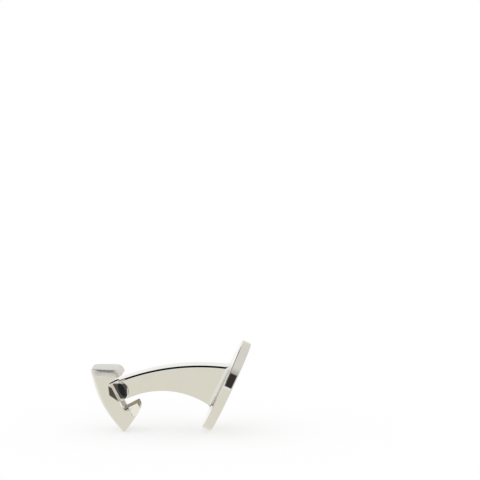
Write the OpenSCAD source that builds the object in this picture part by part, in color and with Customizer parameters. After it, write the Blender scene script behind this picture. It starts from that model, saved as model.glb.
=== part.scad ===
// Cufflink: a round face on a bowed bar, with a boat-shaped toggle hinged at the bar's other end.
// It stands as it does on a table, on the rim of the face and the lower tip of the toggle.
// X runs from the toggle to the face, Y from the near side to the far side, Z up, ground at z = 0.

/* [Face] */
// Diameter of the round face
face_d = 16; // [12:0.5:22]
// Thickness of the face
face_t = 1.6; // [1.2:0.1:2.4]
// Rounding of the two rim edges
face_edge = 0.18; // [0.05:0.01:0.4]

/* [Bar] */
// Distance of the hinge from the back of the face
hinge_reach = 14.95; // [12:0.05:18]
// Distance of the hinge below the middle of the face
hinge_drop = 8.3; // [7:0.1:10]
// Width of the bar, from its near side to its far side
bar_w = 4.2; // [3.4:0.1:4.6]
// Radius of the bar's round end, half of its height there
bar_end_r = 1.7; // [1.5:0.05:1.9]
// Radius of the bowed top
bow_top_r = 37; // [30:1:60]
// Radius of the bowed underside
bow_low_r = 13.7; // [13:0.1:18]
// Top of the foot above the middle of the face
foot_top = 3.25; // [2:0.05:3.6]
// Bottom of the foot below the middle of the face
foot_low = 4.1; // [3.8:0.05:5]
// Rounding of the four long edges
bar_edge = 0.4; // [0.1:0.05:0.6]
// Radius of the flare where the foot meets the face
foot_flare = 0.85; // [0.4:0.05:1.2]

/* [Toggle] */
// Length of the toggle along its outer side
toggle_len = 12.2; // [11:0.1:14]
// Length of its flat inner side, measured at the corners before they are rounded
toggle_in_len = 7.65; // [7:0.05:9]
// Width of the toggle
toggle_w = 7; // [6.6:0.1:8]
// Depth from the hinge to the outer side, at the middle
toggle_out = 3.64; // [3.3:0.02:4]
// Depth from the hinge to the outer side, at the two tips
toggle_tip_out = 2.35; // [1.9:0.05:2.6]
// Depth from the hinge to the flat inner side
toggle_in = 1.93; // [1.8:0.01:2.3]
// Rounding of the inner corners, seen from the side
toggle_corner_r = 1.2; // [0.6:0.1:1.8]
// Rounding of the two tips, seen from the side
toggle_tip_r = 0.5; // [0.35:0.05:0.8]
// How far the middle of the toggle lies below the hinge
toggle_shift = 0.5; // [0:0.05:0.8]

/* [Notch and slot] */
// Depth from the hinge to the floor of the notch
notch_floor = 0.48; // [0.4:0.01:1]
// Distance from the hinge to the lower wall of the notch
notch_low = 3.1; // [2.6:0.05:3.4]
// Distance from the hinge to the upper wall of the notch
notch_high = 2.25; // [2:0.05:2.5]
// Depth of the bevel that narrows the lower arm's cheeks, from the inner side
cheek_bevel = 1.5; // [0.8:0.1:1.8]
// Width of the land left between that bevel and the slot
slot_land = 0.25; // [0.2:0.05:0.4]

/* [Hinge] */
// Diameter of the hinge pin
pin_d = 1.2; // [0.8:0.1:1.4]
// Radius of the bracket's round ears
ear_r = 1.63; // [1.45:0.01:1.66]
// Thickness of the tongue between the ears
tongue_t = 1.9; // [1.4:0.1:2.2]
// Radius of the tongue's round end
tongue_r = 1.3; // [1.1:0.05:1.35]
// Thickness of the bracket's base
base_t = 0.4; // [0.3:0.05:0.5]
// Thickness of the leaf spring
leaf_t = 0.2; // [0.12:0.01:0.25]
// Rise of the bowed leaf spring
leaf_rise = 0.3; // [0.2:0.02:0.35]
// Length of the leaf spring
leaf_len = 3; // [2.6:0.1:3.2]
// How far the toggle turns, from across the bar to folded against it
fold_deg = 66; // [58:1:70]
// How far the toggle is turned from across the bar, as it stands
rest_deg = 2; // [0:0.5:8]
// Thickness to which the bar's thin upper and lower ends are cut back, about the hinge
bar_end_t = 0.15; // [0.1:0.01:0.2]

/* [Hidden] */
$fn = 96;

// Clearances
pin_gap = 0.04;
tongue_gap = 0.06;
ear_gap = 0.1;
slot_gap = 0.15;
leaf_gap = 0.04;
leaf_side_gap = 0.1;

// One overrun for every cut
over = 1;

// Toggle's section: its cheeks are flat up to this share of the half depth, and its outer side is domed
dome_share = 0.2;
dome_power = 1.9;
cheek_power = 8;
// How squarely the plan narrows towards the tips, and where the last ring lies
plan_power = 4.5;
tip_share = 0.97;

// Counts of the meshed surfaces
rings = 36;
ring_points = 40;
flare_steps = 6;
flare_points = 12;

face_r = face_d / 2;
pin_r = pin_d / 2;
scoop_r = ear_r + ear_gap;
scoop_x = sqrt(pow(scoop_r, 2) - pow(bar_end_r - bar_end_t, 2));
slot_w = bar_w + 2 * slot_gap;
pivot = [hinge_reach, -hinge_drop];

// Where two circles meet: the meeting point to the left of the line from the first centre to the second
function meet(c1, r1, c2, r2) =
    let (d = c2 - c1, s = norm(d), m = (s * s + r1 * r1 - r2 * r2) / (2 * s), h = sqrt(r1 * r1 - m * m))
    c1 + d / s * m + [-d.y, d.x] / s * h;

// The bow is drawn between two arcs that start at the foot and touch the round end about the hinge
top_c = meet([0, foot_top], bow_top_r, pivot, bow_top_r - bar_end_r);
low_c = meet([0, -foot_low], bow_low_r, pivot, bow_low_r + bar_end_r);
top_c_below = top_c.y < 0 ? top_c : meet(pivot, bow_top_r - bar_end_r, [0, foot_top], bow_top_r);
low_c_below = low_c.y < -foot_low ? low_c : meet(pivot, bow_low_r + bar_end_r, [0, -foot_low], bow_low_r);
to_top = (pivot - top_c_below) / norm(pivot - top_c_below);
to_low = (low_c_below - pivot) / norm(low_c_below - pivot);
top_deg = atan2(to_top.y, to_top.x);
low_deg = atan2(to_low.y, to_low.x);
// Direction in which the bar's end points, away from the face
end_deg = (top_deg + low_deg) / 2;
toggle_deg = end_deg - rest_deg;

// Height of each arc over the face's middle, at a distance from the face
function top_at(a) = top_c_below.y + sqrt(pow(bow_top_r, 2) - pow(a - top_c_below.x, 2));
function low_at(a) = low_c_below.y + sqrt(pow(bow_low_r, 2) - pow(a - low_c_below.x, 2));

// Side view of the toggle: an outer arc, rounded tips, and an inner side with two rounded corners
half_len = toggle_len / 2;
half_in = toggle_in_len / 2;
sag = toggle_out - toggle_tip_out;
outer_r = (half_len * half_len + sag * sag) / (2 * sag);
outer_c = [toggle_out - outer_r, 0];
tip_corner = [toggle_tip_out, half_len];
in_corner = [-toggle_in, half_in];
slope = (in_corner - tip_corner) / norm(in_corner - tip_corner);
slope_in = [-slope.y, slope.x];
slope_deg = atan2(-slope.x, -slope.y);

// The tip's circle touches the outer arc and the slope between the two corners
tip_start = tip_corner + slope_in * toggle_tip_r - outer_c;
tip_back = -tip_start * slope
    - sqrt(pow(tip_start * slope, 2) - tip_start * tip_start + pow(outer_r - toggle_tip_r, 2));
tip_c = tip_corner + slope_in * toggle_tip_r + slope * tip_back;
tip_from_deg = atan2(tip_c.y - outer_c.y, tip_c.x - outer_c.x);
tip_to_deg = atan2(-slope_in.y, -slope_in.x);
tip_mid_deg = (tip_from_deg + tip_to_deg) / 2;

// Lengths along the outline, from the middle of each side to the middle of the tip
turn = PI / 180;
arc_len = outer_r * tip_from_deg * turn;
tip_len = toggle_tip_r * (tip_to_deg - tip_mid_deg) * turn;
corner_back = toggle_corner_r * tan(slope_deg / 2);
flat_len = half_in - corner_back;
corner_len = toggle_corner_r * slope_deg * turn;
slope_len = norm(in_corner - tip_corner) - corner_back - tip_back;

function on_tip(deg) = tip_c + toggle_tip_r * [cos(deg), sin(deg)];
function outer_half(l) =
    l < arc_len
        ? let (t = l / outer_r / turn) outer_c + outer_r * [cos(t), sin(t)]
        : on_tip(tip_from_deg + (l - arc_len) / toggle_tip_r / turn);
function inner_half(l) =
    let (bend = flat_len + corner_len, end = bend + slope_len)
    l < flat_len ? [-toggle_in, l]
    : l < bend
        ? let (t = (l - flat_len) / toggle_corner_r / turn)
          [-toggle_in + toggle_corner_r * (1 - cos(t)), flat_len + toggle_corner_r * sin(t)]
    : l < end ? in_corner - slope * (corner_back + l - bend)
    : on_tip(tip_to_deg - (l - end) / toggle_tip_r / turn);
function side_of(p, s) = [p.x, s < 0 ? -p.y : p.y];
function outer_at(s) = side_of(outer_half(abs(s) * (arc_len + tip_len)), s);
function inner_at(s) = side_of(inner_half(abs(s) * (flat_len + corner_len + slope_len + tip_len)), s);
function half_w_at(s) = toggle_w / 2 * pow(1 - pow(abs(s), plan_power), 1 / plan_power);
function rounded(c, power) = sign(c) * pow(abs(c), 2 / power);
function section_at(t) =
    cos(t) > 0
        ? [dome_share + (1 - dome_share) * rounded(cos(t), dome_power), rounded(sin(t), dome_power)]
        : [dome_share + (1 + dome_share) * rounded(cos(t), cheek_power), rounded(sin(t), cheek_power)];
function ring_at(s) =
    let (o = outer_at(s), i = inner_at(s), m = (o + i) / 2, h = (o - i) / 2, w = half_w_at(s))
    [for (k = [0:ring_points - 1])
        let (p = section_at(360 * k / ring_points))
        [m.x + h.x * p.x, m.y + h.y * p.x - toggle_shift, w * p.y]];
// Stations crowd towards the tips, where the outline turns
function station(k) = tip_share * sin(90 * (2 * k / (rings - 1) - 1));
toggle_rings = [for (k = [0:rings - 1]) ring_at(station(k))];

// The toggle's point in the side view of the face
function turned(p, deg) = [p.x * cos(deg) - p.y * sin(deg), p.x * sin(deg) + p.y * cos(deg)];
tip_seen = pivot + turned([tip_c.x, -tip_c.y - toggle_shift], toggle_deg);
rim_low = [face_edge - face_t, face_edge - face_r];
rim_high = [face_edge - face_t, face_r - face_edge];

// How far the face leans back when its rim and the toggle's tip both touch the ground
stance = tip_seen - rim_low;
lean = asin((toggle_tip_r - face_edge) / norm(stance)) - atan2(stance.y, stance.x);
face_z = face_edge - rim_low.x * sin(lean) - rim_low.y * cos(lean);
function across(p) = p.y * sin(lean) - p.x * cos(lean);
right_x = across(rim_high) + face_edge;
left_x = min([for (r = toggle_rings, p = r) across(pivot + turned([p.x, p.y], toggle_deg))]);
face_x = -(right_x + left_x) / 2;

// Side view frame of the face: x away from its back, y up along it, z to the far side
module face_frame() {
    translate([face_x, 0, face_z])
        rotate([0, lean, 0])
            rotate([90, 0, 180])
                children();
}

// Frame of the toggle about the hinge: x towards its outer side, y up along it, z to the far side
module toggle_frame() {
    face_frame()
        translate(pivot)
            rotate([0, 0, toggle_deg])
                children();
}

module both_sides() {
    children();
    mirror([0, 0, 1])
        children();
}

module slab(t) {
    translate([0, 0, -t / 2])
        linear_extrude(t)
            children();
}

module rounded_rect(size, r) {
    translate([r, 0])
        square([size.x - 2 * r, size.y]);
    translate([0, r])
        square([size.x, size.y - 2 * r]);
    for (x = [r, size.x - r], y = [r, size.y - r])
        translate([x, y])
            circle(r);
}

module face_disc() {
    color("#D8D5CB")
        face_frame()
            rotate([0, -90, 0])
                rotate_extrude()
                    intersection() {
                        translate([-face_r, 0])
                            rounded_rect([face_d, face_t], face_edge);
                        square([face_d, face_t]);
                    }
}

// A ring about a bow's centre whose outer or inner edges are rounded
module bow_ring(c, r_in, r_out) {
    translate([c.x, c.y, 0])
        rotate_extrude()
            translate([r_in, -bar_w / 2])
                rounded_rect([r_out - r_in, bar_w], bar_edge);
}

module bow() {
    reach = hinge_reach + hinge_drop;
    intersection() {
        bow_ring(top_c_below, bow_top_r - reach, bow_top_r);
        bow_ring(low_c_below, bow_low_r, bow_low_r + reach);
        slab(bar_w + over)
            polygon([pivot, pivot + to_top * reach, [0, reach], [0, -foot_low], low_c_below]);
    }
}

// Concave flare round the foot: rings of a rounded rectangle that widen towards the face
module flare() {
    function ring(t) =
        let (a = foot_flare * (1 - cos(t)),
             o = t == 90 ? -bar_edge / 4 : foot_flare * (1 - sin(t)),
             r = bar_edge + max(o, 0),
             top = top_at(a) + o - r,
             low = low_at(a) - o + r,
             side = bar_w / 2 + o - r)
        [for (q = [[1, 1], [-1, 1], [-1, -1], [1, -1]], k = [0:flare_points - 1])
            let (start = q == [1, 1] ? 0 : q == [-1, 1] ? 90 : q == [-1, -1] ? 180 : 270,
                 g = start + 90 * k / (flare_points - 1),
                 c = [q.x > 0 ? top : low, q.y * side])
            [a, c.x + r * cos(g), c.y + r * sin(g)]];
    count = 4 * flare_points;
    points = [for (k = [0:flare_steps]) each ring(90 * k / flare_steps)];
    walls = [for (k = [0:flare_steps - 1], j = [0:count - 1])
        let (n = (j + 1) % count, b = k * count, t = b + count)
        each [[b + j, t + j, t + n], [b + j, t + n, b + n]]];
    polyhedron(points, concat([[for (j = [0:count - 1]) j],
                               [for (j = [count - 1:-1:0]) flare_steps * count + j]], walls));
}

module curved_bar() {
    color("#D6D2C6")
        face_frame()
            difference() {
                union() {
                    difference() {
                        union() {
                            bow();
                            flare();
                        }
                        translate([pivot.x, pivot.y, 0])
                            rotate([0, 0, end_deg])
                                slab(bar_w + over) {
                                    circle(scoop_r);
                                    translate([-scoop_x, -scoop_r - over])
                                        square([scoop_r + scoop_x, 2 * (scoop_r + over)]);
                                }
                    }
                    translate([pivot.x, pivot.y, 0])
                        rotate([0, 0, end_deg])
                            slab(tongue_t) {
                                circle(tongue_r);
                                translate([-scoop_r - tongue_gap, -tongue_r])
                                    square([scoop_r + tongue_gap, 2 * tongue_r]);
                            }
                }
                translate([pivot.x, pivot.y, 0])
                    slab(tongue_t + over)
                        circle(pin_r + pin_gap);
            }
}

// Side view of the space that the bar sweeps in the lower arm: its floor is the bar's own underside, folded
module fold_space() {
    span = bow_low_r + bar_end_r;
    rotate(low_deg - end_deg + fold_deg)
        difference() {
            translate([-toggle_len, -toggle_len])
                square([toggle_len + span, toggle_len]);
            translate([span, 0])
                circle(bow_low_r - slot_gap);
        }
}

base_in = tongue_r + leaf_gap + leaf_t + leaf_rise;
base_out = base_in + base_t;

module toggle_loft() {
    count = ring_points;
    points = [for (r = toggle_rings) each r];
    walls = [for (k = [0:rings - 2], j = [0:count - 1])
        let (n = (j + 1) % count, b = k * count, t = b + count)
        each [[b + j, t + j, t + n], [b + j, t + n, b + n]]];
    polyhedron(points, concat([[for (j = [0:count - 1]) j],
                               [for (j = [count - 1:-1:0]) (rings - 1) * count + j]], walls));
}

module toggle_body() {
    // The bevel runs from the land beside the slot up to the cheek, and its cutter runs on past both
    land = [-toggle_in, slot_w / 2 + slot_land];
    rise = [cheek_bevel, toggle_w / 2 - land.y];
    from = land - rise;
    to = land + 2 * rise;
    color("#D9D6CC")
        toggle_frame()
            difference() {
                toggle_loft();
                slab(toggle_w + over)
                    translate([-toggle_in - over, -notch_low])
                        square([toggle_in + over + notch_floor, notch_low + notch_high]);
                slab(bar_w)
                    translate([-over, -ear_r])
                        square([base_out + over, 2 * ear_r]);
                slab(slot_w)
                    fold_space();
                both_sides()
                    translate([0, over - notch_low, 0])
                        rotate([90, 0, 0])
                            linear_extrude(toggle_len)
                                polygon([from, to, [from.x, to.y]]);
            }
}

module hinge_bracket() {
    ear_t = (bar_w - tongue_t) / 2 - tongue_gap;
    color("#CFCBC0")
        toggle_frame()
            difference() {
                union() {
                    both_sides()
                        translate([0, 0, bar_w / 2 - ear_t])
                            linear_extrude(ear_t) {
                                circle(ear_r);
                                difference() {
                                    translate([0, -ear_r])
                                        square([base_out, 2 * ear_r]);
                                    fold_space();
                                }
                            }
                    slab(bar_w)
                        translate([base_in, -ear_r])
                            square([base_t, 2 * ear_r]);
                }
                slab(bar_w + over)
                    circle(pin_r);
            }
}

module hinge_pin() {
    color("#BDBAB2")
        toggle_frame()
            slab(bar_w)
                circle(pin_r);
}

// A bowed leaf whose ends stand on the bracket's base and whose back bears on the tongue
module leaf_spring() {
    leaf_w = tongue_t + 2 * tongue_gap - 2 * leaf_side_gap;
    leaf_r = (pow(leaf_len / 2, 2) + leaf_rise * leaf_rise) / (2 * leaf_rise);
    color("#8C8F93")
        toggle_frame()
            slab(leaf_w)
                translate([tongue_r + leaf_gap, 0])
                    intersection() {
                        translate([0, -leaf_len / 2])
                            square([leaf_t + leaf_rise, leaf_len]);
                        translate([leaf_r + leaf_t, 0])
                            difference() {
                                circle(leaf_r + leaf_t);
                                circle(leaf_r);
                            }
                    }
}

face_disc();
curved_bar();
toggle_body();
hinge_bracket();
hinge_pin();
leaf_spring();
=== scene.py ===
import math

import bmesh
import bpy
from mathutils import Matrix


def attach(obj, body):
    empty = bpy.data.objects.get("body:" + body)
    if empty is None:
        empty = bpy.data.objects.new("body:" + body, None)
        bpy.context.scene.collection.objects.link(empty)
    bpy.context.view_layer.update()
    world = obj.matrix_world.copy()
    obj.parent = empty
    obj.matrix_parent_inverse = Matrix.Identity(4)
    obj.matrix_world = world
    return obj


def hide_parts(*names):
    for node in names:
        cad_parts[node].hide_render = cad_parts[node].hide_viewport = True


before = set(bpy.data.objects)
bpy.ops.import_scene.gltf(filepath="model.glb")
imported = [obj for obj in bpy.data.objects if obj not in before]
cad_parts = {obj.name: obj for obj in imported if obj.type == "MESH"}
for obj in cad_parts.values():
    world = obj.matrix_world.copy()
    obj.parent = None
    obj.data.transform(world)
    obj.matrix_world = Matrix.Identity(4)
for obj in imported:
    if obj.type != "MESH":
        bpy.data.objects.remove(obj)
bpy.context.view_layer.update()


# Face: one round disc turned from solid metal, its two rims rounded by a hair and polished to a mirror.
# Its back carries the bar, and it leans because the link stands on the rim and on the toggle's lower tip.
mm = 0.001
lean = math.radians(25.1725)
face_spot = (8.4414 * mm, 0, 7.86133 * mm)
face_r = 8 * mm
face_t = 1.6 * mm
face_edge = 0.18 * mm
face_sides = 288
face_edge_steps = 6
flat_inset = 0.25 * mm
rim_inset = 0.06 * mm
face_crease = math.radians(40)
crease = math.radians(35)


def pick(piece):
    bpy.ops.object.select_all(action="DESELECT")
    piece.select_set(True)
    bpy.context.view_layer.objects.active = piece


def stand_in_place(piece, spot, turn):
    # Pieces are shaped with x away from the face's back or towards the toggle's outer side, and z up
    piece.location = spot
    piece.rotation_euler = (0, -turn, math.pi)
    pick(piece)
    bpy.ops.object.transform_apply(location=True, rotation=True, scale=True)


def finish_modifiers(piece):
    pick(piece)
    for modifier in list(piece.modifiers):
        bpy.ops.object.modifier_apply(modifier=modifier.name)


def even_shading(piece, angle):
    # Broad faces keep their own normals, so that a polished flat stays flat in its reflections
    pick(piece)
    bpy.ops.object.shade_smooth_by_angle(angle=angle)
    weighted = piece.modifiers.new("even_normals", "WEIGHTED_NORMAL")
    weighted.weight = 100
    weighted.keep_sharp = True
    finish_modifiers(piece)


bpy.ops.object.select_all(action="DESELECT")
bpy.ops.mesh.primitive_cylinder_add(
    vertices=face_sides,
    radius=face_r,
    depth=face_t,
    location=(-face_t / 2, 0, 0),
    rotation=(0, math.pi / 2, 0),
)
round_face = bpy.context.object
round_face.name = "round_face"
bpy.ops.object.transform_apply(location=True, rotation=True, scale=True)
bpy.ops.object.mode_set(mode="EDIT")
bpy.ops.mesh.select_mode(type="EDGE")
bpy.ops.mesh.select_all(action="DESELECT")
mesh = bmesh.from_edit_mesh(round_face.data)
for edge in mesh.edges:
    edge.select_set(abs(edge.verts[0].co.x - edge.verts[1].co.x) < face_t / 2)
bmesh.update_edit_mesh(round_face.data)
bpy.ops.mesh.bevel(offset=face_edge, segments=face_edge_steps, profile=0.5, affect="EDGES")
bpy.ops.mesh.select_mode(type="FACE")
bpy.ops.mesh.select_all(action="DESELECT")
mesh = bmesh.from_edit_mesh(round_face.data)
for flat in mesh.faces:
    flat.select_set(len(flat.verts) == face_sides)
bmesh.update_edit_mesh(round_face.data)
bpy.ops.mesh.inset(thickness=flat_inset, depth=0)
bpy.ops.mesh.select_all(action="DESELECT")
mesh = bmesh.from_edit_mesh(round_face.data)
for band in mesh.faces:
    depths = [corner.co.x for corner in band.verts]
    band.select_set(max(depths) - min(depths) > face_t / 2)
bmesh.update_edit_mesh(round_face.data)
bpy.ops.mesh.inset(thickness=rim_inset, depth=0)
bpy.ops.object.mode_set(mode="OBJECT")
stand_in_place(round_face, face_spot, lean)
even_shading(round_face, face_crease)


# Polish: the whole link has one finish, warm white metal buffed to a mirror, with hairlines too fine to
# count. The pieces share the hairlines and the faint breath of handling, and each sets how much of them
# it has.
hairline_runs = ((0.35, (260.0, 9000.0, 9000.0)), (1.25, (9000.0, 420.0, 9000.0)))
hairline_turns = (1.0, 0.6, 1.7)
# A noise has its scale and detail, and a span the two values between which the noise fades in
hairline_noise = (1.0, 2.0)
hairline_span = (0.60, 0.72)
hairline_roughness = 0.05
breath_noise = (420.0, 3.0)
breath_span = (0.42, 0.75)
relief_strength = 0.02
relief_depth = 0.002 * mm
silver, warm_silver = (0.80, 0.785, 0.74), (0.79, 0.77, 0.72)
face_silver = (0.80, 0.785, 0.745)
bracket_tones = ((0.78, 0.765, 0.72), (0.77, 0.75, 0.70))
pin_tones = ((0.76, 0.75, 0.71), (0.75, 0.735, 0.69))
spring_tones = ((0.55, 0.56, 0.58), (0.50, 0.50, 0.51))


def mapped(nodes, links, value, low, high, start=0.0, stop=1.0, how="LINEAR", held=True):
    # The value drawn from one span onto another
    span = nodes.new("ShaderNodeMapRange")
    span.interpolation_type = how
    span.clamp = held
    span.inputs["From Min"].default_value = low
    span.inputs["From Max"].default_value = high
    span.inputs["To Min"].default_value = start
    span.inputs["To Max"].default_value = stop
    links.new(value, span.inputs["Value"])
    return span.outputs["Result"]


def maths(nodes, links, operation, *terms):
    # The terms are numbers or node outputs
    node = nodes.new("ShaderNodeMath")
    node.operation = operation
    for place, term in zip(node.inputs, terms):
        if isinstance(term, float):
            place.default_value = term
        else:
            links.new(term, place)
    return node.outputs["Value"]


def over(nodes, links, mask, ground, tone):
    # The tone laid over the ground where the mask is one, each of them a colour or a node output
    mix = nodes.new("ShaderNodeMix")
    mix.data_type = "RGBA"
    links.new(mask, mix.inputs["Factor"])
    for name, given in (("A", ground), ("B", tone)):
        if isinstance(given, tuple):
            mix.inputs[name].default_value = (*given, 1)
        else:
            links.new(given, mix.inputs[name])
    return mix.outputs["Result"]


def noise(nodes, links, vector, scale, detail):
    grain = nodes.new("ShaderNodeTexNoise")
    grain.inputs["Scale"].default_value = scale
    grain.inputs["Detail"].default_value = detail
    links.new(vector, grain.inputs["Vector"])
    return grain.outputs["Fac"]


def axes(nodes, links, vector):
    parted = nodes.new("ShaderNodeSeparateXYZ")
    links.new(vector, parted.inputs["Vector"])
    return parted.outputs["X"], parted.outputs["Y"], parted.outputs["Z"]


def build_fine_polish():
    group = bpy.data.node_groups.new("fine_polish", "ShaderNodeTree")
    for name, way, kind in (
        ("Vector", "INPUT", "Vector"),
        ("Hairlines", "INPUT", "Float"),
        ("Smooth", "INPUT", "Float"),
        ("Worn", "INPUT", "Float"),
        ("Tone", "INPUT", "Color"),
        ("Warm Tone", "INPUT", "Color"),
        ("Colour", "OUTPUT", "Color"),
        ("Roughness", "OUTPUT", "Float"),
        ("Height", "OUTPUT", "Float"),
    ):
        group.interface.new_socket(name, in_out=way, socket_type="NodeSocket" + kind)
    nodes, links = group.nodes, group.links
    given = nodes.new("NodeGroupInput").outputs
    result = nodes.new("NodeGroupOutput").inputs
    lines = []
    for turn, stretch in hairline_runs:
        place = nodes.new("ShaderNodeMapping")
        place.inputs["Rotation"].default_value = [turn * part for part in hairline_turns]
        place.inputs["Scale"].default_value = stretch
        links.new(given["Vector"], place.inputs["Vector"])
        grain = noise(nodes, links, place.outputs["Vector"], *hairline_noise)
        lines.append(mapped(nodes, links, grain, *hairline_span))
    marks = maths(nodes, links, "MULTIPLY", maths(nodes, links, "MAXIMUM", *lines), given["Hairlines"])
    haze = mapped(nodes, links, noise(nodes, links, given["Vector"], *breath_noise), *breath_span)
    worn = maths(nodes, links, "MULTIPLY", haze, given["Worn"])
    rough_marks = maths(nodes, links, "MULTIPLY_ADD", marks, hairline_roughness, worn)
    links.new(over(nodes, links, haze, given["Tone"], given["Warm Tone"]), result["Colour"])
    links.new(maths(nodes, links, "ADD", rough_marks, given["Smooth"]), result["Roughness"])
    links.new(marks, result["Height"])
    return group


fine_polish = build_fine_polish()


def polished_metal(name, tone, warm_tone, smooth, worn, hairlines=0.3):
    material = bpy.data.materials.new(name)
    material.use_nodes = True
    nodes, links = material.node_tree.nodes, material.node_tree.links
    surface = nodes["Principled BSDF"]
    surface.inputs["Metallic"].default_value = 1.0
    place = nodes.new("ShaderNodeTexCoord")
    polish = nodes.new("ShaderNodeGroup")
    polish.node_tree = fine_polish
    polish.inputs["Hairlines"].default_value = hairlines
    polish.inputs["Smooth"].default_value = smooth
    polish.inputs["Worn"].default_value = worn
    polish.inputs["Tone"].default_value = (*tone, 1)
    polish.inputs["Warm Tone"].default_value = (*warm_tone, 1)
    relief = nodes.new("ShaderNodeBump")
    relief.inputs["Strength"].default_value = relief_strength
    relief.inputs["Distance"].default_value = relief_depth
    links.new(place.outputs["Object"], polish.inputs["Vector"])
    links.new(polish.outputs["Colour"], surface.inputs["Base Color"])
    links.new(polish.outputs["Roughness"], surface.inputs["Roughness"])
    links.new(polish.outputs["Height"], relief.inputs["Height"])
    links.new(relief.outputs["Normal"], surface.inputs["Normal"])
    return material


def wear(piece, material):
    piece.data.materials.clear()
    piece.data.materials.append(material)


wear(round_face, polished_metal("face_polish", face_silver, warm_silver, smooth=0.02, worn=0.02))
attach(round_face, "front")
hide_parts("face_disc")


# Bar: a solid bowed bar, deepest at its foot, which flares into the back of the face where it is brazed on.
# It is drawn out section by section from the face to the hinge, and its four long edges are softly rounded.
bar_w = 4.2 * mm
bar_edge = 0.4 * mm
bar_edge_steps = 8
foot_flare = 0.85 * mm
flare_steps, bow_steps = 10, 44
flare_ease = 3
hinge_spot = (14.95 * mm, -8.3 * mm)
top_centre, top_r = (-11.1975 * mm, -32.0149 * mm), 37 * mm
low_centre, low_r = (2.63339 * mm, -17.5445 * mm), 13.7 * mm
high_end, low_end = math.radians(42.207), math.radians(36.891)
end_turn = math.radians(-50.451)
ear_r = 1.63 * mm
scoop_r = 1.73 * mm
scoop_x = 0.7676 * mm
neck_past = 0.3 * mm
tongue_t = 1.9 * mm
tongue_r = 1.3 * mm
pin_r = 0.6 * mm
pin_play = 0.04 * mm
# Cutters reach this far past what they cut
past = 1 * mm
round_sides, bore_sides, underside_sides = 192, 96, 720


def on_circle(centre, radius, angle):
    return (centre[0] + radius * math.cos(angle), centre[1] + radius * math.sin(angle))


def circle_angle(centre, radius, x):
    return math.acos((x - centre[0]) / radius)


def top_corner(angle):
    return on_circle(top_centre, top_r - bar_edge, angle)


def low_corner(angle):
    return on_circle(low_centre, low_r + bar_edge, angle)


# Each station holds the middles of the top and low roundings, their turns, and how far the flare stands out
stations = []
for step in range(flare_steps + 1):
    share = step / flare_steps
    blend = share ** flare_ease
    sweep = math.radians(90 * step / flare_steps)
    x = foot_flare * (1 - math.cos(sweep))
    high, low = circle_angle(top_centre, top_r, x), circle_angle(low_centre, low_r, x)
    top_foot = (x, top_centre[1] + top_r * math.sin(high) - bar_edge)
    low_foot = (x, low_centre[1] + low_r * math.sin(low) + bar_edge)
    stations.append({
        "top": tuple(a + (b - a) * blend for a, b in zip(top_foot, top_corner(high))),
        "low": tuple(a + (b - a) * blend for a, b in zip(low_foot, low_corner(low))),
        "top_turn": (high - math.pi / 2) * blend,
        "low_turn": (low - math.pi / 2) * blend,
        "out": foot_flare * (1 - math.sin(sweep)),
    })
high_start = circle_angle(top_centre, top_r, foot_flare)
low_start = circle_angle(low_centre, low_r, foot_flare)
for step in range(1, bow_steps + 1):
    share = step / bow_steps
    high = high_start + (high_end - high_start) * share
    low = low_start + (low_end - low_start) * share
    stations.append({
        "top": top_corner(high),
        "low": low_corner(low),
        "top_turn": high - math.pi / 2,
        "low_turn": low - math.pi / 2,
        "out": 0.0,
    })

first_top, first_low = stations[0]["top"], stations[0]["low"]
first_r = bar_edge + foot_flare
first_height = first_top[1] - first_low[1] + 2 * first_r
side = bar_w / 2 - bar_edge
bpy.ops.object.select_all(action="DESELECT")
bpy.ops.mesh.primitive_plane_add(size=1, location=(0, 0, 0), rotation=(0, -math.pi / 2, 0))
bowed_bar = bpy.context.object
bowed_bar.name = "bowed_bar"
bpy.ops.object.transform_apply(location=True, rotation=True, scale=True)
bpy.ops.object.mode_set(mode="EDIT")
bpy.ops.transform.resize(value=(1, 2 * (side + first_r), first_height), center_override=(0, 0, 0))
bpy.ops.transform.translate(value=(0, 0, (first_top[1] + first_low[1]) / 2))
bpy.ops.mesh.bevel(offset=first_r, segments=bar_edge_steps, profile=0.5, affect="VERTICES")


def chosen_corners(data, middle):
    # The four roundings of the section that is selected, by side and height
    mesh = bmesh.from_edit_mesh(data)
    corners = {}
    for vert in mesh.verts:
        if vert.select:
            corners.setdefault((vert.co.y > 0, vert.co.z > middle), []).append(vert.index)
    return corners


def choose(data, indices):
    mesh = bmesh.from_edit_mesh(data)
    mesh.verts.ensure_lookup_table()
    for part in (*mesh.faces, *mesh.verts):
        part.select_set(False)
    for index in indices:
        mesh.verts[index].select_set(True)
    mesh.select_flush(True)
    bmesh.update_edit_mesh(data)


bpy.ops.mesh.select_mode(type="VERT")
bpy.ops.mesh.select_all(action="SELECT")
before = stations[0]
for station in stations[1:]:
    bpy.ops.mesh.extrude_region_move()
    corners = chosen_corners(bowed_bar.data, (before["top"][1] + before["low"][1]) / 2)
    grow = (bar_edge + station["out"]) / (bar_edge + before["out"])
    for (far, high), indices in corners.items():
        choose(bowed_bar.data, indices)
        end = "top" if high else "low"
        was, now = before[end], station[end]
        turn = station[end + "_turn"] - before[end + "_turn"]
        centre = (was[0], side if far else -side, was[1])
        if grow != 1:
            bpy.ops.transform.resize(value=(grow, grow, grow), center_override=centre)
        bpy.ops.transform.rotate(value=turn, orient_axis="Y", orient_type="GLOBAL", center_override=centre)
        bpy.ops.transform.translate(value=(now[0] - was[0], 0, now[1] - was[1]))
    choose(bowed_bar.data, [index for indices in corners.values() for index in indices])
    before = station
bpy.ops.mesh.select_all(action="SELECT")
bpy.ops.mesh.normals_make_consistent(inside=False)
bpy.ops.object.mode_set(mode="OBJECT")


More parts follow.
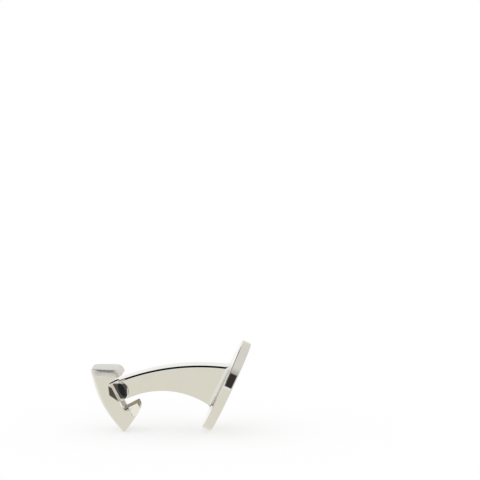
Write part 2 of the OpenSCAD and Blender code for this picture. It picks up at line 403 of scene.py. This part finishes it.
def placed_tool(name, spot, turn):
    # A tool is turned about its own middle in the side view
    tool = bpy.context.object
    tool.name = name
    bpy.ops.object.transform_apply(location=True, rotation=True, scale=True)
    tool.rotation_euler = (0, -turn, 0)
    tool.location = spot
    bpy.ops.object.transform_apply(location=True, rotation=True, scale=True)
    return tool


def block_tool(name, size, spot, turn=0.0):
    bpy.ops.object.select_all(action="DESELECT")
    bpy.ops.mesh.primitive_cube_add(size=1, location=(0, 0, 0), scale=size)
    return placed_tool(name, spot, turn)


def round_tool(name, radius, width, spot, sides=round_sides):
    # A round bar that lies across the link
    bpy.ops.object.select_all(action="DESELECT")
    bpy.ops.mesh.primitive_cylinder_add(
        vertices=sides, radius=radius, depth=width, location=(0, 0, 0), rotation=(math.pi / 2, 0, 0)
    )
    return placed_tool(name, spot, 0.0)


def work(piece, tool, operation):
    change = piece.modifiers.new(tool.name, "BOOLEAN")
    change.object = tool
    change.operation = operation
    change.solver = "EXACT"
    finish_modifiers(piece)
    bpy.data.objects.remove(tool, do_unlink=True)


def along_end(distance):
    # A spot on the line of the bar's end, measured from the hinge
    x, z = on_circle(hinge_spot, distance, end_turn)
    return (x, 0, z)


trim = scoop_r + scoop_x
trim_size = (trim, bar_w + past, 2 * (scoop_r + past))
neck = scoop_r + neck_past
neck_size = (neck, tongue_t, 2 * tongue_r)
work(bowed_bar, round_tool("scoop", scoop_r, bar_w + past, along_end(0)), "DIFFERENCE")
work(bowed_bar, block_tool("end_trim", trim_size, along_end(trim / 2 - scoop_x), end_turn), "DIFFERENCE")
work(bowed_bar, block_tool("neck", neck_size, along_end(-neck / 2), end_turn), "UNION")
work(bowed_bar, round_tool("tongue", tongue_r, tongue_t, along_end(0)), "UNION")
pin_bore = round_tool("pin_bore", pin_r + pin_play, tongue_t + past, along_end(0), bore_sides)
work(bowed_bar, pin_bore, "DIFFERENCE")
stand_in_place(bowed_bar, face_spot, lean)
even_shading(bowed_bar, crease)
wear(bowed_bar, polished_metal("bar_polish", silver, warm_silver, smooth=0.012, worn=0.015))
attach(bowed_bar, "front")
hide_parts("curved_bar")


# Toggle: a solid boat-shaped swivel bar, bowed on its outer side and flat on its inner side, with rounded
# ends. It is drawn out ring by ring from its lower tip to its upper tip, then milled for the hinge and for
# the folded bar.
toggle_turn = lean + math.radians(-52.451)
toggle_spot = (-8.61918 * mm, 0, 6.70848 * mm)
toggle_half, toggle_in_half = 6.1 * mm, 3.825 * mm
toggle_w = 7 * mm
toggle_out, toggle_tip_out, toggle_in = 3.64 * mm, 2.35 * mm, 1.93 * mm
corner_r, tip_r = 1.2 * mm, 0.5 * mm
toggle_shift = 0.5 * mm
ring_count = 72
ring_points = 72
tip_share = 0.985
dome_share = 0.2
dome_power, cheek_power, plan_power = 1.9, 8, 4.5
notch_floor, notch_low, notch_high = 0.48 * mm, 3.1 * mm, 2.25 * mm
base_in, base_out = 1.84 * mm, 2.24 * mm
slot_w = bar_w + 0.3 * mm
fold_turn = math.radians(-26.658)
fold_span = low_r + 1.7 * mm
fold_play = 0.15 * mm
land_w = 0.25 * mm
bevel_rise = 1.5 * mm
wedge_scale = 3
weld = 0.001 * mm
satin_from, satin_full, satin_roughness = 8.8 * mm, 9.9 * mm, 0.42

outer_r = (toggle_half ** 2 + (toggle_out - toggle_tip_out) ** 2) / (2 * (toggle_out - toggle_tip_out))
outer_x = toggle_out - outer_r
slope_run = (-toggle_in - toggle_tip_out, toggle_in_half - toggle_half)
slope_len = math.hypot(*slope_run)
slope = (slope_run[0] / slope_len, slope_run[1] / slope_len)
slope_in = (-slope[1], slope[0])
slope_angle = math.atan2(-slope[0], -slope[1])
tip_from = (toggle_tip_out + slope_in[0] * tip_r - outer_x, toggle_half + slope_in[1] * tip_r)
tip_along = tip_from[0] * slope[0] + tip_from[1] * slope[1]
tip_gap = tip_along ** 2 - tip_from[0] ** 2 - tip_from[1] ** 2 + (outer_r - tip_r) ** 2
tip_back = -tip_along - math.sqrt(tip_gap)
tip_spot = (outer_x + tip_from[0] + slope[0] * tip_back, tip_from[1] + slope[1] * tip_back)
tip_from_angle = math.atan2(tip_spot[1], tip_spot[0] - outer_x)
tip_to_angle = math.atan2(-slope_in[1], -slope_in[0])
tip_middle = (tip_from_angle + tip_to_angle) / 2
corner_back = corner_r * math.tan(slope_angle / 2)
outer_run = outer_r * tip_from_angle
tip_run = tip_r * (tip_to_angle - tip_middle)
flat_run = toggle_in_half - corner_back
bend_run = flat_run + corner_r * slope_angle
slope_end = bend_run + (slope_len - corner_back - tip_back)


def outer_side(share):
    run = abs(share) * (outer_run + tip_run)
    if run < outer_run:
        x, z = on_circle((outer_x, 0.0), outer_r, run / outer_r)
    else:
        x, z = on_circle(tip_spot, tip_r, tip_from_angle + (run - outer_run) / tip_r)
    return (x, math.copysign(z, share))


def inner_side(share):
    run = abs(share) * (slope_end + tip_run)
    if run < flat_run:
        x, z = -toggle_in, run
    elif run < bend_run:
        angle = (run - flat_run) / corner_r
        x, z = -toggle_in + corner_r * (1 - math.cos(angle)), flat_run + corner_r * math.sin(angle)
    elif run < slope_end:
        back = corner_back + run - bend_run
        x, z = -toggle_in - slope[0] * back, toggle_in_half - slope[1] * back
    else:
        x, z = on_circle(tip_spot, tip_r, tip_to_angle - (run - slope_end) / tip_r)
    return (x, math.copysign(z, share))


def ring_of(share):
    # The middle, half depth, half width and turn of the section at this share of the toggle's length
    outer, inner = outer_side(share), inner_side(share)
    middle = ((outer[0] + inner[0]) / 2, (outer[1] + inner[1]) / 2 - toggle_shift)
    half = math.hypot(outer[0] - inner[0], outer[1] - inner[1]) / 2
    width = toggle_w / 2 * (1 - abs(share) ** plan_power) ** (1 / plan_power)
    turn = math.atan2(outer[1] - inner[1], outer[0] - inner[0])
    return middle, half, width, turn


bpy.ops.object.select_all(action="DESELECT")
bpy.ops.mesh.primitive_circle_add(vertices=ring_points, radius=1, fill_type="NGON", location=(0, 0, 0))
toggle = bpy.context.object
toggle.name = "toggle_boat"
bpy.ops.object.mode_set(mode="EDIT")
bpy.ops.mesh.select_mode(type="VERT")
for index in range(ring_points):
    # The section is flat on its cheeks and inner side, with tight corners, and domed on its outer side
    mesh = bmesh.from_edit_mesh(toggle.data)
    mesh.verts.ensure_lookup_table()
    point = mesh.verts[index].co.copy()
    power = dome_power if point.x > 0 else cheek_power
    reach = 1 - dome_share if point.x > 0 else 1 + dome_share
    deep = dome_share + math.copysign(reach * abs(point.x) ** (2 / power), point.x)
    wide = math.copysign(abs(point.y) ** (2 / power), point.y)
    choose(toggle.data, [index])
    bpy.ops.transform.translate(value=(deep - point.x, wide - point.y, 0))
bpy.ops.mesh.select_all(action="SELECT")
was_spot, was_half, was_width, was_turn = ring_of(-tip_share)
bpy.ops.transform.resize(value=(was_half, was_width, 1), center_override=(0, 0, 0))
bpy.ops.transform.rotate(value=was_turn, orient_axis="Y", orient_type="GLOBAL", center_override=(0, 0, 0))
bpy.ops.transform.translate(value=(was_spot[0], 0, was_spot[1]))
for step in range(1, ring_count):
    share = tip_share * math.sin(math.pi / 2 * (2 * step / (ring_count - 1) - 1))
    spot, half, width, turn = ring_of(share)
    bpy.ops.mesh.extrude_region_move()
    centre = (was_spot[0], 0, was_spot[1])
    bpy.ops.transform.rotate(value=-was_turn, orient_axis="Y", orient_type="GLOBAL", center_override=centre)
    bpy.ops.transform.resize(value=(half / was_half, width / was_width, 1), center_override=centre)
    bpy.ops.transform.rotate(value=turn, orient_axis="Y", orient_type="GLOBAL", center_override=centre)
    bpy.ops.transform.translate(value=(spot[0] - was_spot[0], 0, spot[1] - was_spot[1]))
    was_spot, was_half, was_width, was_turn = spot, half, width, turn
bpy.ops.mesh.select_all(action="SELECT")
bpy.ops.mesh.normals_make_consistent(inside=False)
bpy.ops.object.mode_set(mode="OBJECT")

notch_depth = toggle_in + past + notch_floor
notch_size = (notch_depth, toggle_w + past, notch_low + notch_high)
notch_spot = (notch_floor - notch_depth / 2, 0, (notch_high - notch_low) / 2)
pocket_size = (base_out + past, bar_w, 2 * ear_r)
work(toggle, block_tool("notch", notch_size, notch_spot), "DIFFERENCE")
work(toggle, block_tool("pocket", pocket_size, ((base_out - past) / 2, 0, 0)), "DIFFERENCE")


def folded_bar(width):
    # The space of the folded bar's underside, cut a little deeper than the bar is
    reach = 2 * toggle_half
    ahead = (fold_span - reach) / 2
    block_spot = (
        ahead * math.cos(fold_turn) + reach / 2 * math.sin(fold_turn),
        0,
        ahead * math.sin(fold_turn) - reach / 2 * math.cos(fold_turn),
    )
    round_spot = (fold_span * math.cos(fold_turn), 0, fold_span * math.sin(fold_turn))
    block = block_tool("folded_bar", (reach + fold_span, width, reach), block_spot, fold_turn)
    underside = round_tool("underside", low_r - fold_play, width + past, round_spot, underside_sides)
    work(block, underside, "DIFFERENCE")
    return block


work(toggle, folded_bar(slot_w), "DIFFERENCE")
land_y = slot_w / 2 + land_w
cheek_rise = toggle_w / 2 - land_y
for hand in (-1, 1):
    # A wedge that takes the lower arm's corner off, from the land beside the slot up to the cheek
    wedge_size = (wedge_scale * bevel_rise, wedge_scale * cheek_rise, 2 * toggle_half)
    wedge_y = hand * (land_y + cheek_rise / 2)
    wedge_spot = (-toggle_in + bevel_rise / 2, wedge_y, past - notch_low - toggle_half)
    wedge = block_tool("cheek_bevel", wedge_size, (0, 0, 0))
    bpy.ops.object.mode_set(mode="EDIT")
    bpy.ops.mesh.select_mode(type="VERT")
    wedge_verts = bmesh.from_edit_mesh(wedge.data).verts
    choose(wedge.data, [vert.index for vert in wedge_verts if vert.co.x > 0 and vert.co.y * hand < 0])
    bpy.ops.transform.translate(value=(-wedge_scale * bevel_rise, 0, 0))
    bpy.ops.mesh.select_all(action="SELECT")
    bpy.ops.mesh.remove_doubles(threshold=weld)
    bpy.ops.mesh.normals_make_consistent(inside=False)
    bpy.ops.transform.translate(value=wedge_spot)
    bpy.ops.object.mode_set(mode="OBJECT")
    work(toggle, wedge, "DIFFERENCE")
stand_in_place(toggle, toggle_spot, toggle_turn)
even_shading(toggle, crease)
toggle_metal = polished_metal("toggle_polish", silver, warm_silver, smooth=0.012, worn=0.015)
# A finger turns the toggle by its upper end, so the mirror has gone softer there
nodes, links = toggle_metal.node_tree.nodes, toggle_metal.node_tree.links
toggle_roughness = nodes["Principled BSDF"].inputs["Roughness"]
mirror = toggle_roughness.links[0].from_socket
height = axes(nodes, links, nodes["Texture Coordinate"].outputs["Object"])[2]
satin = mapped(nodes, links, height, satin_from, satin_full, 0.0, satin_roughness, "SMOOTHSTEP")
links.new(maths(nodes, links, "ADD", mirror, satin), toggle_roughness)
wear(toggle, toggle_metal)
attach(toggle, "toggle")
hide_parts("toggle_body")


# Hinge bracket: a small U of metal brazed into the toggle's pocket, whose two round ears hold the pin.
# The bar's tongue turns between the ears, and its shoulders pass close by them.
ear_play = 0.06 * mm
ear_t = (bar_w - tongue_t) / 2 - ear_play
gap_size = (base_in + past, bar_w - 2 * ear_t, 2 * ear_r + past)
bracket = block_tool("hinge_ears", (base_out, bar_w, 2 * ear_r), (base_out / 2, 0, 0))
work(bracket, block_tool("tongue_gap", gap_size, ((base_in - past) / 2, 0, 0)), "DIFFERENCE")
work(bracket, folded_bar(bar_w), "DIFFERENCE")
for hand in (-1, 1):
    work(bracket, round_tool("ear", ear_r, ear_t, (0, hand * (bar_w - ear_t) / 2, 0)), "UNION")
work(bracket, round_tool("bore", pin_r, bar_w + past, (0, 0, 0), bore_sides), "DIFFERENCE")
stand_in_place(bracket, toggle_spot, toggle_turn)
even_shading(bracket, crease)
wear(bracket, polished_metal("bracket_polish", *bracket_tones, smooth=0.01, worn=0.01))
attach(bracket, "toggle")
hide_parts("hinge_bracket")


# Hinge pin: a short round pin through both ears and the bar's tongue, on which the toggle swivels.
# It is riveted and polished flush with the ears, so only two faint rings show.
pin = round_tool("hinge_pin_round", pin_r, bar_w, (0, 0, 0), bore_sides)
stand_in_place(pin, toggle_spot, toggle_turn)
even_shading(pin, crease)
wear(pin, polished_metal("pin_polish", *pin_tones, smooth=0.012, worn=0.01))
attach(pin, "toggle")
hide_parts("hinge_pin")


# Leaf spring: a strip of bowed spring steel on the bracket's base, which bears on the tongue and so holds
# the toggle. It is left as it is cut, a little darker and duller than the polished pieces round it.
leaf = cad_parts["leaf_spring"]
leaf_steel = polished_metal("leaf_steel", *spring_tones, smooth=0.25, worn=0.15, hairlines=1.0)
for place in leaf.material_slots:
    place.material = leaf_steel


# Set: a white sheet in a bright white room, for soft contact shadows. Glossy rays alone see painted
# reflections
# in the sheet and the room: a warm even tone in the metal, a painted dark strip that draws the line on the
# bar's edge, a painted dark card with a lens on the photographer's side that draws the spots on the hinge
# and the cheek, and a painted dark stripe that draws the spot on the rim.
sheet_size, sheet_z = 6, -0.02 * mm
paper_tone, paper_glow = 0.38, 0.62
sight_line, lens_line, lean_line = (1, -0.0937, 0), (1, -0.1557, 0), (-1.9, 0, 1)
# From the middle of the painted lens reflection to its edge, aside and along
lens_aside, lens_along = (-5.15 * mm, -4.55 * mm), (-42.5 * mm, -35.2 * mm)
sensor_w, focal_px, frame_px = 36, 1829.9, 480
camera_near, camera_far = 0.01, 20
camera_spot = (19.2941 * mm, -300 * mm, 58.9806 * mm)
camera_dip, camera_turn = 5.1911, 1.5082


def dot(nodes, links, vector, line):
    product = nodes.new("ShaderNodeVectorMath")
    product.operation = "DOT_PRODUCT"
    product.inputs[1].default_value = line
    links.new(vector, product.inputs[0])
    return product.outputs["Value"]


def masked(nodes, links, limits):
    # One where every value is over or under its edge, which it passes as softly as the limit says
    steps = []
    for value, kept_side, edge, soft in limits:
        start, stop = (0.0, 1.0) if kept_side == "over" else (1.0, 0.0)
        steps.append(mapped(nodes, links, value, edge - soft, edge + soft, start, stop, "SMOOTHSTEP"))
    mask = steps[0]
    for step in steps[1:]:
        mask = maths(nodes, links, "MULTIPLY", mask, step)
    return mask


def painted(nodes, links, ground, parts):
    # The parts laid one over the other on the ground
    for tone, limits in parts.values():
        ground = over(nodes, links, masked(nodes, links, limits), ground, tone)
    return ground


bpy.ops.object.select_all(action="DESELECT")
bpy.ops.mesh.primitive_plane_add(size=sheet_size, location=(0, 0, sheet_z))
sheet = bpy.context.object
sheet.name = "white_sheet"
bpy.ops.object.transform_apply(location=True, rotation=True, scale=True)
sheet_white = bpy.data.materials.new("sheet_white")
sheet_white.use_nodes = True
nodes, links = sheet_white.node_tree.nodes, sheet_white.node_tree.links
paper = nodes["Principled BSDF"]
paper.inputs["Roughness"].default_value = 0.9
paper.inputs["Specular IOR Level"].default_value = 0.0
paper.inputs["Base Color"].default_value = (paper_tone, paper_tone, paper_tone, 1)
paper.inputs["Emission Color"].default_value = (1, 1, 1, 1)
paper.inputs["Emission Strength"].default_value = paper_glow
where = nodes.new("ShaderNodeTexCoord").outputs["Object"]
toward = axes(nodes, links, where)[1]
sight = dot(nodes, links, where, sight_line)
lens_spot = nodes.new("ShaderNodeCombineXYZ")
lens_x = mapped(nodes, links, dot(nodes, links, where, lens_line), *lens_aside, held=False)
links.new(lens_x, lens_spot.inputs["X"])
links.new(mapped(nodes, links, toward, *lens_along, held=False), lens_spot.inputs["Y"])
lens_reach = nodes.new("ShaderNodeVectorMath")
lens_reach.operation = "LENGTH"
links.new(lens_spot.outputs["Vector"], lens_reach.inputs[0])
# Glossy rays alone see these painted reflections in the sheet: a lighter floor behind, a dark card and a
# dark lens over a warm tone. The camera and the lighting see plain white paper
painted_floor_reflections = {
    "painted_light_behind": ((0.96, 0.96, 0.94), ((toward, "over", 6 * mm, 6 * mm),)),
    "painted_dark_card": (
        (0.10, 0.09, 0.08),
        (
            (sight, "over", -12.0 * mm, 0.3 * mm),
            (sight, "under", -6.78 * mm, 0.05 * mm),
            (toward, "under", -33 * mm, 1 * mm),
            (toward, "over", -49.5 * mm, 1 * mm),
        ),
    ),
    "lens": ((0.022, 0.024, 0.028), ((lens_reach.outputs["Value"], "under", 1.0, 0.08),)),
}
painted_reflection_glow = nodes.new("ShaderNodeEmission")
links.new(painted(nodes, links, (0.85, 0.84, 0.765), painted_floor_reflections), painted_reflection_glow.inputs["Color"])
path = nodes.new("ShaderNodeLightPath")
shown = nodes.new("ShaderNodeMixShader")
links.new(path.outputs["Is Glossy Ray"], shown.inputs["Fac"])
links.new(paper.outputs["BSDF"], shown.inputs[1])
links.new(painted_reflection_glow.outputs["Emission"], shown.inputs[2])
links.new(shown.outputs["Shader"], nodes["Material Output"].inputs["Surface"])
sheet.data.materials.append(sheet_white)

room = bpy.data.worlds.new("white_room")
bpy.context.scene.world = room
room.use_nodes = True
nodes, links = room.node_tree.nodes, room.node_tree.links
nodes.clear()
path = nodes.new("ShaderNodeLightPath")
way = nodes.new("ShaderNodeTexCoord").outputs["Generated"]
across, ahead, up = axes(nodes, links, way)
leaning = dot(nodes, links, way, lean_line)
# Glossy rays alone see these painted reflections in the room: tones of two walls, a dim corner and a
# window, a dark stripe that draws the spot on the rim and a dark strip that draws the line on the bar's
# edge. All other rays see plain white
painted_room_reflections = {
    "left_wall_painted_reflection": ((0.92, 0.93, 0.93), ((ahead, "under", 0.0, 0.3), (across, "under", -0.2, 0.3))),
    "right_wall_painted_reflection": ((0.80, 0.79, 0.76), ((across, "over", 0.12, 0.12),)),
    "dim_corner_painted_reflection": (
        (0.56, 0.56, 0.53),
        (
            (across, "over", 0.12, 0.06),
            (across, "under", 0.75, 0.1),
            (ahead, "under", -0.2, 0.2),
            (up, "under", 0.68, 0.08),
        ),
    ),
    "window_painted_highlight": (
        (1.0, 0.985, 0.93),
        ((across, "over", 0.74, 0.03), (ahead, "under", -0.35, 0.05), (up, "over", 0.20, 0.03)),
    ),
    "rim_spot_painted_reflection": (
        (0.045, 0.038, 0.036),
        (
            (leaning, "over", -0.17, 0.03),
            (leaning, "under", 0.06, 0.03),
            (ahead, "under", -0.3, 0.05),
            (up, "over", 0.08, 0.015),
            (up, "under", 0.57, 0.03),
        ),
    ),
    "edge_line_painted_reflection": (
        (0.006, 0.012, 0.020),
        (
            (across, "over", -0.52, 0.05),
            (across, "under", 0.09, 0.02),
            (ahead, "under", 0.66, 0.05),
            (up, "over", 0.30, 0.03),
        ),
    ),
}
painted_reflection_tone = painted(nodes, links, (0.98, 0.98, 0.97), painted_room_reflections)
light = nodes.new("ShaderNodeBackground")
links.new(over(nodes, links, path.outputs["Is Glossy Ray"], (1, 1, 1), painted_reflection_tone), light.inputs["Color"])
result = nodes.new("ShaderNodeOutputWorld")
links.new(light.outputs["Background"], result.inputs["Surface"])

camera_data = bpy.data.cameras.new("camera")
camera_data.sensor_width = sensor_w
camera_data.lens = sensor_w * focal_px / frame_px
camera_data.clip_start = camera_near
camera_data.clip_end = camera_far
camera = bpy.data.objects.new("camera", camera_data)
bpy.context.scene.collection.objects.link(camera)
camera.location = camera_spot
camera.rotation_euler = (math.radians(90 - camera_dip), 0, math.radians(camera_turn))
bpy.context.scene.camera = camera
bpy.context.scene.view_settings.view_transform = "Standard"
